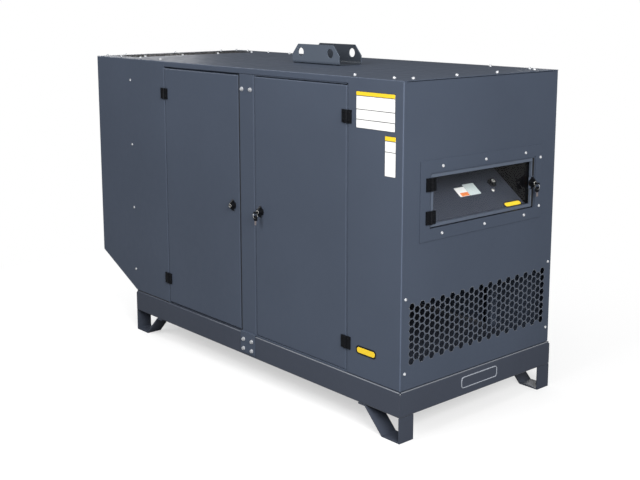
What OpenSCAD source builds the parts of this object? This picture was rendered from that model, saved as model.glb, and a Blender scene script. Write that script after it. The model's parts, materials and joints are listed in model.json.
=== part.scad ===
// Gas engine generator in a sheet-steel canopy on a raised base frame
// Millimetres, +Z up, floor at Z = 0, control end at +X, front doors at -Y

/* [Canopy] */
// Length of the canopy from the air hood to the control end
body_l = 2150; // [1900:10:2500]
// Width across the side walls
body_w = 900; // [760:10:1100]
// Height of the canopy above the base frame
canopy_h = 1154; // [980:2:1400]
// Overhang of the air hood past the base frame
hood_l = 316; // [240:2:380]
// Rise of the slanted hood underside
hood_rise = 156; // [90:2:220]
// Thickness of the canopy sheets
sheet_t = 3; // [2:0.5:4]
// Height of the wall strip over the doors
header_h = 26; // [20:1:40]
// Outer radius of the bends in the sheets
bend_r = 5; // [5:0.5:8]
// Open seam between the upper end sheet and the roof
seam = 2; // [1:0.5:4]
// Width of the folds along the sheet edges
fold_w = 25; // [15:1:32]
// Width of the side sheet that turns round the control end corner
corner_w = 14; // [10:1:24]

/* [Base frame] */
// Height of the base rails
rail_h = 100; // [80:1:140]
// Width of the rail flanges
rail_flange = 45; // [30:1:70]
// Thickness of the rail steel
rail_t = 5; // [3:0.5:8]
// Distance that the rails stand out from the walls
rail_proud = 5; // [3:0.5:8]
// Size of the open corner relief of the end rails
relief = 9; // [5:1:14]
// Thickness of the floor sheet
floor_t = 3; // [2:0.5:5]
// Setback of the floor sheet from the wall faces
floor_inset = 8; // [5:1:16]

/* [Feet] */
// Height of the feet
foot_h = 100; // [70:1:130]
// Width of the bent foot strap
strap_w = 75; // [55:1:95]
// Thickness of the foot strap
strap_t = 6; // [4:0.5:10]
// Length of the flat that stands on the floor
foot_flat = 94; // [70:1:130]
// Run of the slanted leg
foot_run = 100; // [70:1:140]
// Length of the strap's end that lies under the rail
foot_lip = 30; // [20:1:50]
// Diameter of the anchor holes in the feet
anchor_d = 14; // [10:0.5:20]
// Distance of an anchor hole from the foot's upright leg
anchor_inset = 34; // [24:1:50]

/* [Side doors] */
// Width of each door
door_w = 564; // [480:2:600]
// Depth of the door's folded rim
door_d = 25; // [18:1:32]
// Gap round the doors
door_gap = 6; // [6:0.5:10]
// Gap under the doors above the base rail
sill_gap = 8; // [8:0.5:14]
// Width of the post between the doors
post_w = 100; // [70:2:140]
// Depth of the door jambs
jamb_d = 34; // [32:1:50]
// Width of the stop behind the door edge
stop_w = 22; // [16:1:35]
// Distance of the post tab's lower end above the rail's lower edge
tab_drop = 12; // [6:1:30]

/* [Hinges] */
// Width of an open hinge
hinge_w = 50; // [40:1:64]
// Height of a hinge
hinge_h = 50; // [36:1:64]
// Thickness of the hinge leaves
leaf_t = 6; // [4:0.5:8]
// Diameter of the hinge barrel
barrel_d = 11; // [9:0.5:12]
// Diameter of the hinge pin
pin_d = 5; // [4:0.5:6]
// Running clearance of the hinge
hinge_play = 0.4; // [0.3:0.1:0.8]
// Distance of a hinge centre from the door's end
hinge_inset = 116; // [80:2:200]

/* [Locks] */
// Diameter of the lock's round base
lock_d = 32; // [24:1:40]
// Thickness of the lock's round base
lock_base_t = 5; // [3:0.5:8]
// Height of the wing handle above the base
wing_h = 17; // [12:1:24]
// Length of the wing handle
wing_l = 50; // [40:1:60]
// Thickness of the wing handle
wing_t = 9; // [7:0.5:14]
// Diameter of the lock barrel
lock_barrel_d = 20; // [14:0.5:23]
// Diameter of the lock's shank in the door
shank_d = 18; // [12:1:20]
// Width of the lock's nut across its corners
nut_d = 30; // [24:1:36]
// Height of the lock's nut
nut_h = 8; // [5:0.5:12]
// Length of the locking cam
cam_l = 58; // [44:1:70]
// Width of the locking cam
cam_w = 20; // [16:1:26]
// Thickness of the locking cam
cam_t = 4; // [3:0.5:6]
// Distance of the cam behind the door stop
cam_gap = 6; // [5:0.5:10]
// Distance of a door lock from the door's free edge
lock_inset = 40; // [28:1:60]
// Height of the door locks over the door's lower edge
lock_z = 550; // [400:2:700]

/* [Control end] */
// Width of the window cover
cover_w = 606; // [480:2:680]
// Height of the window cover
cover_h = 198; // [150:1:260]
// Height of the window cover's lower edge above the base frame
cover_z = 607; // [520:1:700]
// Width of the cover's frame
cover_band = 12; // [10:1:20]
// Depth of the cover's folded rim
cover_d = 20; // [14:1:28]
// Depth of the fold between the cover's face and its pane
pane_set = 12; // [8:1:12]
// Width of the tab that carries the cover's lock
tab_w = 26; // [24:1:40]
// Height of the tab that carries the cover's lock
tab_h = 44; // [36:1:60]
// Gap round the cover
cover_gap = 6; // [6:0.5:10]
// Thickness of the clear pane
pane_t = 4; // [3:0.5:6]
// Distance from the cover's end to a cover hinge's centre
cover_hinge_inset = 37; // [30:1:60]
// Thickness of the plate round the window
surround_t = 3; // [2:0.5:5]
// Width of the plate on each side of the window
surround_x = 50; // [30:1:80]
// Width of end sheet left bare beside the window's lock side
lip_w = 9; // [5:1:20]
// Height of the plate over and under the window
surround_z = 46; // [30:1:80]
// Depth of the control recess
recess_d = 300; // [220:5:380]
// Sheet thickness of the control recess
recess_t = 3; // [2:0.5:4]
// Diameter of the round switch
switch_d = 30; // [22:1:40]
// Height of the round switch
switch_h = 14; // [8:1:24]

/* [Vent] */
// Number of hole columns
vent_cols = 29; // [21:2:33]
// Number of holes in the tall columns
vent_rows = 8; // [5:1:9]
// Distance between neighbouring columns
vent_col = 28; // [26:0.5:30]
// Distance between the holes of a column
vent_row = 30; // [28:0.5:34]
// Width of a hole across its flats
hex_af = 26; // [18:0.5:26.5]
// Height of the vent's centre above the base frame
vent_z = 214; // [190:2:240]
// Height of the lower end sheet
vent_panel_h = 370; // [350:2:430]

/* [Roof] */
// Length of the air outlet along the hood
outlet_l = 196; // [140:2:230]
// Width of the air outlet across the hood
outlet_w = 740; // [600:10:780]
// Distance from the hood's end to the outlet
outlet_x = 44; // [36:1:60]
// Number of slot columns in the outlet grille
slot_cols = 24; // [16:1:28]
// Number of slot rows in the outlet grille
slot_rows = 2; // [1:1:3]
// Width of the bars of the outlet grille
slot_bar = 8; // [5:0.5:12]
// Length of the lifting bracket
lift_l = 312; // [240:2:420]
// Width of the lifting bracket
lift_w = 134; // [110:2:200]
// Height of the lifting bracket
lift_h = 86; // [75:1:110]
// Plate thickness of the lifting bracket
lift_t = 6; // [5:0.5:12]
// Outer radius of the bracket's bends
lift_r = 14; // [13:0.5:20]
// Diameter of the lifting eyes
eye_d = 40; // [26:1:44]
// Distance of a lifting eye from the bracket's end
eye_inset = 58; // [45:1:80]
// Height of the lifting eyes above the roof
eye_z = 50; // [34:1:54]
// Slant of the bracket's ends
lift_slant = 40; // [20:1:60]
// Height of the bracket's upright end edges
lift_side = 40; // [24:1:56]

/* [Hidden] */

// Overrun of every cut
over = 1;
// Roundness of the round pieces
$fn = 48;

// Height of a lock and its reach past the control end
lock_h = lock_base_t + wing_h;
lock_reach = surround_t + lock_h;

// Main planes
hood_x = -(body_l + lock_reach) / 2;
end_x = hood_x + body_l;
wall_y = body_w / 2;
rail_y = wall_y + rail_proud;
rail_x0 = hood_x + hood_l;
rail_x1 = end_x + rail_proud;
mid_x = (rail_x0 + end_x) / 2;
z_deck = foot_h + rail_h;
z_wall = z_deck + floor_t;
z_roof = z_deck + canopy_h;
z_top = z_roof - sheet_t;
z_header = z_roof - header_h;
z_hood = z_deck + hood_rise;

// Door places
door_z0 = z_deck + sill_gap;
door_z1 = z_header - door_gap;
door_h = door_z1 - door_z0;
left_x1 = mid_x - post_w / 2 - door_gap;
left_x0 = left_x1 - door_w;
right_x0 = mid_x + post_w / 2 + door_gap;
right_x1 = right_x0 + door_w;
jamb_left = left_x0 - door_gap;
jamb_right = right_x1 + door_gap;
left_lock_x = left_x1 - lock_inset;
right_lock_x = right_x0 + lock_inset;
hinge_z = [door_z0 + hinge_inset, door_z1 - hinge_inset];
left_axis_x = left_x0 - door_gap / 2;
right_axis_x = right_x1 + door_gap / 2;
axis_y = wall_y + leaf_t;

// Control end places
face_x = end_x + surround_t;
cover_z0 = z_deck + cover_z;
cover_z1 = cover_z0 + cover_h;
cover_mid_z = (cover_z0 + cover_z1) / 2;
window_w = cover_w + 2 * cover_gap;
window_z0 = cover_z0 - cover_gap;
window_z1 = cover_z1 + cover_gap;
cover_axis_x = face_x + leaf_t;
cover_axis_y = -cover_w / 2 - cover_gap / 2;
cover_hinge_z = [cover_z0 + cover_hinge_inset, cover_z1 - cover_hinge_inset];
vent_z1 = z_wall + vent_panel_h;
recess_x = end_x - sheet_t;
recess_back = recess_x - recess_d;
sill_x = face_x - cover_d - 2 * cover_gap;
console_run = sill_x - recess_back;
console_rise = window_z1 - window_z0;
console_a = atan2(console_rise, console_run);
hex_r = hex_af / 2 / cos(30);
end_w = body_w - 2 * corner_w;

// Shares of the sizes that they follow
knuckle_share = 0.32;
web_share = 0.35;
middle_h = hinge_h * knuckle_share;
web_t = barrel_d * web_share;
switch_y_share = 0.36;
switch_up_share = 0.43;
wing_tip_share = 0.44;

// Linear extrusions along X and Y, with the outline in the other two axes
module along_x(x0, x1) translate([x0, 0, 0]) rotate([90, 0, 90]) linear_extrude(x1 - x0) children();
module along_y(y0, y1) translate([0, y1, 0]) rotate([90, 0, 0]) linear_extrude(y1 - y0) children();
module along_z(z0, z1) translate([0, 0, z0]) linear_extrude(z1 - z0) children();

// Cut that rounds the corner at the origin of an outline in +X and +Y
module outer_round(r) difference() {
  translate([-over, -over]) square(r + over);
  translate([r, r]) circle(r);
}

// Bent sheet corner at the origin, between a leg along +X and a leg along +Y
module bend() translate([bend_r, bend_r]) intersection() {
  difference() {
    circle(bend_r);
    circle(bend_r - sheet_t);
  }
  translate([-bend_r, -bend_r]) square(bend_r);
}

// Paint colours
module body_paint() color([0.32, 0.36, 0.41]) children();
module base_paint() color([0.26, 0.29, 0.34]) children();
module console_paint() color([0.2, 0.21, 0.23]) children();
module black_parts() color([0.05, 0.05, 0.06]) children();

// Base frame
module rail_web() difference() {
  square([rail_t, rail_h]);
  for (s = [0, 1]) translate([0, s * rail_h]) mirror([0, s]) outer_round(rail_t);
}

module channel() {
  rail_web();
  for (z = [0, rail_h - rail_t]) translate([rail_t, z]) square([rail_flange - rail_t, rail_t]);
}

module base_front_rail() base_paint()
  along_x(rail_x0 + rail_t, rail_x1 - rail_t) translate([-rail_y, foot_h]) channel();

module base_back_rail() mirror([0, 1, 0]) base_front_rail();

// End rail with its outer face at X = 0 and open reliefs in the upper corners
module end_rail() {
  inner_y = rail_y - rail_flange;
  along_y(-inner_y, inner_y) translate([0, foot_h]) channel();
  for (s = [0, 1]) mirror([0, s, 0]) difference() {
    along_y(inner_y, rail_y) translate([0, foot_h]) rail_web();
    translate([-over, rail_y - relief, z_deck - relief])
      cube([rail_t + 2 * over, relief + over, relief + over]);
  }
}

module base_control_end_rail() base_paint() translate([rail_x1, 0, 0]) mirror([1, 0, 0]) end_rail();
module base_hood_end_rail() base_paint() translate([rail_x0, 0, 0]) end_rail();

module base_floor() base_paint()
  translate([rail_x0, -wall_y + floor_inset, z_deck])
  cube([end_x - floor_inset - rail_x0, body_w - 2 * floor_inset, floor_t]);

// Feet, bent from flat strap
module strap_outline() {
  a = atan2(foot_h, foot_run);
  run = foot_run / foot_h;
  slant_w = strap_t / sin(a);
  lip_z = foot_h - strap_t;
  lip_x = foot_flat + foot_run + foot_lip;
  polygon([[0, 0], [foot_flat, 0], [foot_flat + lip_z * run, lip_z], [lip_x, lip_z], [lip_x, foot_h],
    [foot_flat + foot_run - slant_w, foot_h], [foot_flat + strap_t * run - slant_w, strap_t],
    [strap_t, strap_t], [strap_t, foot_h], [0, foot_h]]);
}

module foot() base_paint() difference() {
  translate([rail_x1, 0, 0]) mirror([1, 0, 0]) along_y(-rail_y, -rail_y + strap_w) strap_outline();
  translate([rail_x1 - anchor_inset, -rail_y + strap_w / 2, -over])
    cylinder(d = anchor_d, h = strap_t + 2 * over);
}

module to_hood_end() translate([rail_x0 + rail_x1, 0, 0]) mirror([1, 0, 0]) children();

module foot_front_right() foot();
module foot_back_right() mirror([0, 1, 0]) foot();
module foot_front_left() to_hood_end() foot();
module foot_back_left() to_hood_end() mirror([0, 1, 0]) foot();

// Side walls: the front ones are drawn and the back ones mirrored
module jamb_outline() {
  bend();
  translate([0, bend_r]) square([sheet_t, jamb_d + sheet_t - bend_r]);
  translate([-stop_w, jamb_d]) square([stop_w + sheet_t, sheet_t]);
}

module corner_outline() {
  bend();
  translate([0, bend_r]) square([sheet_t, corner_w - bend_r]);
}

module front_left_panel() body_paint() {
  flat_x = jamb_left - bend_r;
  along_y(-wall_y, -wall_y + sheet_t) polygon([[hood_x, z_hood], [rail_x0, z_wall], [flat_x, z_wall],
    [flat_x, z_header], [jamb_left, z_header], [jamb_left, z_top], [hood_x, z_top]]);
  translate([jamb_left, -wall_y, 0]) mirror([1, 0, 0]) along_z(z_wall, z_header) jamb_outline();
  translate([rail_x0, -wall_y, z_wall]) cube([flat_x - rail_x0, fold_w, sheet_t]);
  translate([hood_x + sheet_t, -wall_y, z_top - sheet_t])
    cube([jamb_left - hood_x - sheet_t, fold_w, sheet_t]);
}

module front_right_panel() body_paint() {
  flat_x = jamb_right + bend_r;
  corner_x = end_x - bend_r;
  along_y(-wall_y, -wall_y + sheet_t) polygon([[flat_x, z_wall], [corner_x, z_wall], [corner_x, z_top],
    [jamb_right, z_top], [jamb_right, z_header], [flat_x, z_header]]);
  translate([jamb_right, -wall_y, 0]) along_z(z_wall, z_header) jamb_outline();
  translate([end_x, -wall_y, 0]) mirror([1, 0, 0]) along_z(z_wall, z_top) corner_outline();
  translate([flat_x, -wall_y, z_wall]) cube([corner_x - flat_x, fold_w, sheet_t]);
  translate([jamb_right, -wall_y, z_top - sheet_t]) cube([corner_x - jamb_right, fold_w, sheet_t]);
}

module front_header() body_paint() along_x(jamb_left, jamb_right) translate([-wall_y, z_header]) {
  top = z_top - z_header;
  bend();
  translate([0, bend_r]) square([sheet_t, top - bend_r]);
  translate([bend_r, 0]) square([jamb_d + sheet_t - bend_r, sheet_t]);
  translate([0, top - sheet_t]) square([fold_w, sheet_t]);
}

module front_center_post() body_paint() {
  half = post_w / 2;
  translate([mid_x, -wall_y, 0]) along_z(z_wall, z_header) {
    translate([bend_r - half, 0]) square([post_w - 2 * bend_r, sheet_t]);
    for (s = [0, 1]) mirror([s, 0]) translate([-half, 0]) jamb_outline();
  }
  translate([mid_x - half, -rail_y - sheet_t, z_wall]) cube([post_w, rail_proud + 2 * sheet_t, sheet_t]);
  translate([mid_x - half, -rail_y - sheet_t, foot_h + tab_drop])
    cube([post_w, sheet_t, z_wall - foot_h - tab_drop + sheet_t]);
}

module back_left_panel() mirror([0, 1, 0]) front_left_panel();
module back_right_panel() mirror([0, 1, 0]) front_right_panel();
module back_header() mirror([0, 1, 0]) front_header();
module back_center_post() mirror([0, 1, 0]) front_center_post();

// Air hood
module hood_end_panel() body_paint()
  translate([hood_x, -wall_y + sheet_t, z_hood])
  cube([sheet_t, body_w - 2 * sheet_t, z_top - z_hood]);

module hood_slope() body_paint() {
  slope_z = sheet_t / cos(atan2(hood_rise, hood_l));
  grade = (z_hood - z_wall) / hood_l;
  x0 = hood_x + sheet_t;
  along_y(-wall_y + sheet_t, wall_y - sheet_t) polygon([[x0, z_hood - sheet_t * grade], [rail_x0, z_wall],
    [rail_x0, z_wall + slope_z], [x0, z_hood - sheet_t * grade + slope_z]]);
}

// Roof sheet, flush with the walls, with rounded long edges and the outlet cut
module roof_outline() difference() {
  translate([-wall_y, 0]) square([body_w, sheet_t]);
  for (s = [0, 1]) mirror([s, 0]) translate([-wall_y, sheet_t]) mirror([0, 1]) outer_round(sheet_t);
}

module roof() body_paint() difference() {
  along_x(hood_x, end_x) translate([0, z_top]) roof_outline();
  translate([hood_x + outlet_x, -outlet_w / 2, z_top - over]) cube([outlet_l, outlet_w, sheet_t + 2 * over]);
}

module outlet_grille() black_parts() {
  pitch_x = (outlet_l - slot_bar) / slot_rows;
  pitch_y = (outlet_w - slot_bar) / slot_cols;
  translate([hood_x + outlet_x, -outlet_w / 2, 0]) along_z(z_top, z_roof) difference() {
    square([outlet_l, outlet_w]);
    for (i = [0 : slot_rows - 1]) for (k = [0 : slot_cols - 1])
      translate([slot_bar + i * pitch_x, slot_bar + k * pitch_y])
        square([pitch_x - slot_bar, pitch_y - slot_bar]);
  }
}

// Lifting bracket, bent from one plate
module lift_outline() {
  half = lift_l / 2;
  difference() {
    polygon([[-half, 0], [half, 0], [half, lift_side], [half - lift_slant, lift_h],
      [lift_slant - half, lift_h], [-half, lift_side]]);
    for (s = [-1, 1]) translate([s * (half - eye_inset), eye_z]) circle(d = eye_d);
  }
}

module lift_profile() difference() {
  half = lift_w / 2;
  translate([-half, 0]) square([lift_w, lift_h]);
  difference() {
    translate([lift_t - half, lift_t]) square([lift_w - 2 * lift_t, lift_h]);
    for (s = [0, 1]) mirror([s, 0]) translate([lift_t - half, lift_t]) outer_round(lift_r - lift_t);
  }
  for (s = [0, 1]) mirror([s, 0]) translate([-half, 0]) outer_round(lift_r);
}

module lifting_bracket() body_paint() translate([mid_x, 0, z_roof]) intersection() {
  along_x(-lift_l / 2, lift_l / 2) lift_profile();
  along_y(-lift_w / 2 - over, lift_w / 2 + over) lift_outline();
}

// Control end: upper sheet with the window and lower sheet with the vent
module end_panel() body_paint() along_x(end_x - sheet_t, end_x) difference() {
  translate([-end_w / 2, vent_z1]) square([end_w, z_top - vent_z1 - seam]);
  translate([-window_w / 2, window_z0]) square([window_w, window_z1 - window_z0]);
}

module hex_field() for (i = [0 : vent_cols - 1]) {
  odd = i % 2;
  n = vent_rows - odd;
  y = (i - (vent_cols - 1) / 2) * vent_col;
  for (k = [0 : n - 1]) translate([y, (k - (n - 1) / 2) * vent_row]) circle(r = hex_r, $fn = 6);
}

module vent_panel() body_paint() along_x(end_x - sheet_t, end_x) difference() {
  translate([-end_w / 2, z_wall]) square([end_w, vent_panel_h]);
  translate([0, z_deck + vent_z]) hex_field();
}

module control_surround() body_paint() along_x(end_x, face_x) difference() {
  translate([-window_w / 2 - surround_x, window_z0 - surround_z])
    square([window_w + 2 * surround_x, window_z1 - window_z0 + 2 * surround_z]);
  translate([-window_w / 2, window_z0]) square([window_w + lip_w, window_z1 - window_z0]);
}

// Control recess: two cheeks and a top, closed by the slanted console
module recess_cheek() polygon([[recess_x, window_z0 - recess_t], [recess_x, window_z1 + recess_t],
  [recess_back, window_z1 + recess_t], [recess_back, window_z1 - recess_t], [sill_x, window_z0 - recess_t]]);

module control_box() console_paint() {
  for (s = [0, 1]) mirror([0, s, 0]) along_y(window_w / 2, window_w / 2 + recess_t) recess_cheek();
  translate([recess_back, -window_w / 2, window_z1]) cube([recess_d, window_w, recess_t]);
}

module control_console() console_paint() {
  drop = recess_t / cos(console_a);
  along_y(-window_w / 2, window_w / 2) polygon([[recess_x, window_z0 - recess_t], [recess_x, window_z0],
    [sill_x, window_z0], [recess_back, window_z1], [recess_back, window_z1 - drop],
    [sill_x - (drop - recess_t) / tan(console_a), window_z0 - recess_t]]);
}

module on_console() translate([sill_x - console_run * switch_up_share, window_w * switch_y_share,
  window_z0 + console_rise * switch_up_share]) rotate([0, console_a, 0]) children();

module console_switch() black_parts() on_console() cylinder(d = switch_d, h = switch_h);

// Hinges stand along Z with the frame leaf at -X and the door leaf at +X of the barrel
module hinge_frame_leaf() {
  clear_x = barrel_d / 2 + hinge_play;
  end_h = (hinge_h - middle_h) / 2 - hinge_play;
  translate([-hinge_w / 2, 0, -hinge_h / 2]) cube([hinge_w / 2 - clear_x, leaf_t, hinge_h]);
  for (s = [0, 1]) mirror([0, 0, s]) translate([0, 0, middle_h / 2 + hinge_play]) {
    cylinder(d = barrel_d, h = end_h);
    translate([-clear_x, 0, 0]) cube([clear_x, web_t, end_h]);
  }
  cylinder(d = pin_d, h = middle_h + end_h, center = true);
}

module hinge_door_leaf() {
  clear_x = barrel_d / 2 + hinge_play;
  difference() {
    union() {
      translate([clear_x, 0, -hinge_h / 2]) cube([hinge_w / 2 - clear_x, leaf_t, hinge_h]);
      translate([0, 0, -middle_h / 2]) {
        cylinder(d = barrel_d, h = middle_h);
        cube([clear_x, web_t, middle_h]);
      }
    }
    cylinder(d = pin_d + 2 * hinge_play, h = hinge_h + 2 * over, center = true);
  }
}

module at_left_hinges() for (z = hinge_z) translate([left_axis_x, -axis_y, z]) children();
module at_right_hinges() for (z = hinge_z) translate([right_axis_x, -axis_y, z]) mirror([1, 0, 0]) children();
module at_cover_hinges() for (z = cover_hinge_z)
  translate([cover_axis_x, cover_axis_y, z]) rotate([0, 0, 90]) children();

module left_hinge_frame_leaves() black_parts() at_left_hinges() hinge_frame_leaf();
module left_hinge_door_leaves() black_parts() at_left_hinges() hinge_door_leaf();
module right_hinge_frame_leaves() black_parts() at_right_hinges() hinge_frame_leaf();
module right_hinge_door_leaves() black_parts() at_right_hinges() hinge_door_leaf();
module control_hinge_frame_leaves() black_parts() at_cover_hinges() hinge_frame_leaf();
module control_hinge_cover_leaves() black_parts() at_cover_hinges() hinge_door_leaf();

module back_hinges() black_parts() mirror([0, 1, 0]) {
  at_left_hinges() hinge_frame_leaf();
  at_left_hinges() hinge_door_leaf();
  at_right_hinges() hinge_frame_leaf();
  at_right_hinges() hinge_door_leaf();
}

// Side doors, folded like shallow trays that open to the inside
module tray_outline(w) difference() {
  square([w, door_d]);
  for (s = [0, 1]) translate([s * w, 0]) mirror([s, 0]) outer_round(bend_r);
}

module door(x0, lock_x) body_paint() difference() {
  intersection() {
    along_z(door_z0, door_z1) translate([x0, -wall_y]) tray_outline(door_w);
    along_x(x0 - over, x0 + door_w + over) translate([-wall_y, door_z0]) mirror([1, -1]) tray_outline(door_h);
  }
  translate([x0 + sheet_t, -wall_y + sheet_t, door_z0 + sheet_t])
    cube([door_w - 2 * sheet_t, door_d, door_h - 2 * sheet_t]);
  translate([lock_x, -wall_y - over, door_z0 + lock_z]) rotate([-90, 0, 0])
    cylinder(d = shank_d + 2 * hinge_play, h = sheet_t + 2 * over);
}

module left_door() door(left_x0, left_lock_x);
module right_door() door(right_x0, right_lock_x);
module back_left_door() mirror([0, 1, 0]) door(left_x0, left_lock_x);
module back_right_door() mirror([0, 1, 0]) door(right_x0, right_lock_x);

// Wing-handle locks, drawn along +Z with the wing along X
module lock() {
  foot = wing_l / 2;
  tip = foot * wing_tip_share;
  cylinder(d = lock_d, h = lock_base_t);
  translate([0, 0, lock_base_t]) {
    cylinder(d = lock_barrel_d, h = wing_h);
    along_y(-wing_t / 2, wing_t / 2) polygon([[-foot, 0], [foot, 0], [tip, wing_h], [-tip, wing_h]]);
  }
}

// Shank, nut and upright cam of a door lock behind the sheet
module lock_inside() {
  cam_z = jamb_d + sheet_t + cam_gap;
  translate([0, 0, -cam_z]) cylinder(d = shank_d, h = cam_z);
  translate([0, 0, -sheet_t - nut_h]) cylinder(d = nut_d, h = nut_h, $fn = 6);
  translate([-cam_w / 2, -cam_w / 2, -cam_z - cam_t]) cube([cam_l, cam_w, cam_t]);
}

module door_lock(x) translate([x, -wall_y, door_z0 + lock_z]) rotate([90, 90, 0]) {
  lock();
  lock_inside();
}

module left_door_lock() black_parts() door_lock(left_lock_x);
module right_door_lock() black_parts() door_lock(right_lock_x);
module back_locks() black_parts() mirror([0, 1, 0]) {
  door_lock(left_lock_x);
  door_lock(right_lock_x);
}

// Window cover: a folded channel frame with a clear pane behind its inner fold
module cover_ring(inset, width) {
  w = cover_w - 2 * inset;
  h = cover_h - 2 * inset;
  translate([-w / 2, cover_z0 + inset]) difference() {
    square([w, h]);
    translate([width, width]) square([w - 2 * width, h - 2 * width]);
  }
}

module control_cover_frame() body_paint() {
  along_x(face_x - sheet_t, face_x) {
    cover_ring(0, cover_band);
    translate([cover_w / 2 - tab_w, cover_mid_z - tab_h / 2]) square([tab_w, tab_h]);
  }
  along_x(face_x - cover_d, face_x) cover_ring(0, sheet_t);
  along_x(face_x - pane_set, face_x) cover_ring(cover_band - sheet_t, sheet_t);
}

module control_cover_pane() color([0.75, 0.82, 0.85, 0.35])
  translate([face_x - pane_set - pane_t, -cover_w / 2 + sheet_t, cover_z0 + sheet_t])
  cube([pane_t, cover_w - 2 * sheet_t, cover_h - 2 * sheet_t]);

module control_cover_lock() black_parts()
  translate([face_x, (cover_w - tab_w) / 2, cover_mid_z]) rotate([0, 90, 0]) lock();

base_front_rail();
base_back_rail();
base_hood_end_rail();
base_control_end_rail();
base_floor();
foot_front_left();
foot_front_right();
foot_back_left();
foot_back_right();
front_left_panel();
front_center_post();
front_right_panel();
front_header();
back_left_panel();
back_center_post();
back_right_panel();
back_header();
back_left_door();
back_right_door();
back_hinges();
back_locks();
hood_end_panel();
hood_slope();
roof();
outlet_grille();
lifting_bracket();
end_panel();
vent_panel();
control_surround();
control_box();
control_console();
console_switch();
left_hinge_frame_leaves();
right_hinge_frame_leaves();
control_hinge_frame_leaves();
left_door();
left_hinge_door_leaves();
left_door_lock();
right_door();
right_hinge_door_leaves();
right_door_lock();
control_cover_frame();
control_cover_pane();
control_hinge_cover_leaves();
control_cover_lock();
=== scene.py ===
"""Looks of a canopied gas engine generator: paint, fasteners, locks, seals and blank plates."""

import json
import math

import bmesh
import bpy
from mathutils import Matrix, Vector

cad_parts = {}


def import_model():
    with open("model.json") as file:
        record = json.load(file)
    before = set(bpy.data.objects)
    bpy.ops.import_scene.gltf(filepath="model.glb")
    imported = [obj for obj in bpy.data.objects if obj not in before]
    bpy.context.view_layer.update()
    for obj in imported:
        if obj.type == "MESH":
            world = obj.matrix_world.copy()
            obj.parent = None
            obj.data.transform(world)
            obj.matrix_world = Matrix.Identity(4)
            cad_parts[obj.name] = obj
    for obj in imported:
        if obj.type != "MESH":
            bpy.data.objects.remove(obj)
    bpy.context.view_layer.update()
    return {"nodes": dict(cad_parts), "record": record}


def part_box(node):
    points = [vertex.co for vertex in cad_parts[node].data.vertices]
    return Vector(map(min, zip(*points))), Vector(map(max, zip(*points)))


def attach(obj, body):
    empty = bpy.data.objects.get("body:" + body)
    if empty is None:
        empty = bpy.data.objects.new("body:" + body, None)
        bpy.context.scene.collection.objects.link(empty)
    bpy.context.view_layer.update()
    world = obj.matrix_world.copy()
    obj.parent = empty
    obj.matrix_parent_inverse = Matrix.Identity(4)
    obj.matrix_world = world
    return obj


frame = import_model()

# Places taken from the frame; every length in this script is in metres
ROOF_LO, ROOF_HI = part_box("roof")
LEFT_PANEL_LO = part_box("front_left_panel")[0]
RIGHT_PANEL_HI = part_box("front_right_panel")[1]
HEADER_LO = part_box("front_header")[0]
LEFT_DOOR_LO, LEFT_DOOR_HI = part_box("left_door")
RIGHT_DOOR_LO, RIGHT_DOOR_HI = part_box("right_door")
POST_LO, POST_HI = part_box("front_center_post")
RAIL_LO, RAIL_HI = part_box("base_front_rail")
END_RAIL_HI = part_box("base_control_end_rail")[1]
SURROUND_LO, SURROUND_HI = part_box("control_surround")
VENT_LO, VENT_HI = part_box("vent_panel")
CONSOLE_LO, CONSOLE_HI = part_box("control_console")
COVER_LO, COVER_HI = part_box("control_cover_frame")
COVER_LOCK_LO, COVER_LOCK_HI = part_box("control_cover_lock")
SWITCH_LO, SWITCH_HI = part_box("console_switch")
OUTLET_LO, OUTLET_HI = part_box("outlet_grille")

FRONT_Y = LEFT_PANEL_LO.y
BACK_Y = -FRONT_Y
TAB_Y = POST_LO.y
MID_X = (POST_LO.x + POST_HI.x) / 2
VENT_X = VENT_HI.x
SURROUND_X = SURROUND_HI.x

# Directions that faces look in
FRONT = Vector((0, -1, 0))
BACK = Vector((0, 1, 0))
END = Vector((1, 0, 0))
UP = Vector((0, 0, 1))

# Spread of a noise texture, cosines between which edges and bends fade into flats, and rays per bevel
NOISE_RANGE = (0.3, 0.7)
EDGE_COSINES = (0.72, 0.99)
BEND_COSINES = (0.80, 0.97)
BEVEL_SAMPLES = 6
# Colour sockets of a mix node
MIX_FIRST, MIX_SECOND, MIX_RESULT = 6, 7, 2


def tint(color, factor):
    return tuple(min(1.0, part * factor) for part in color[:3]) + (1.0,)


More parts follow.
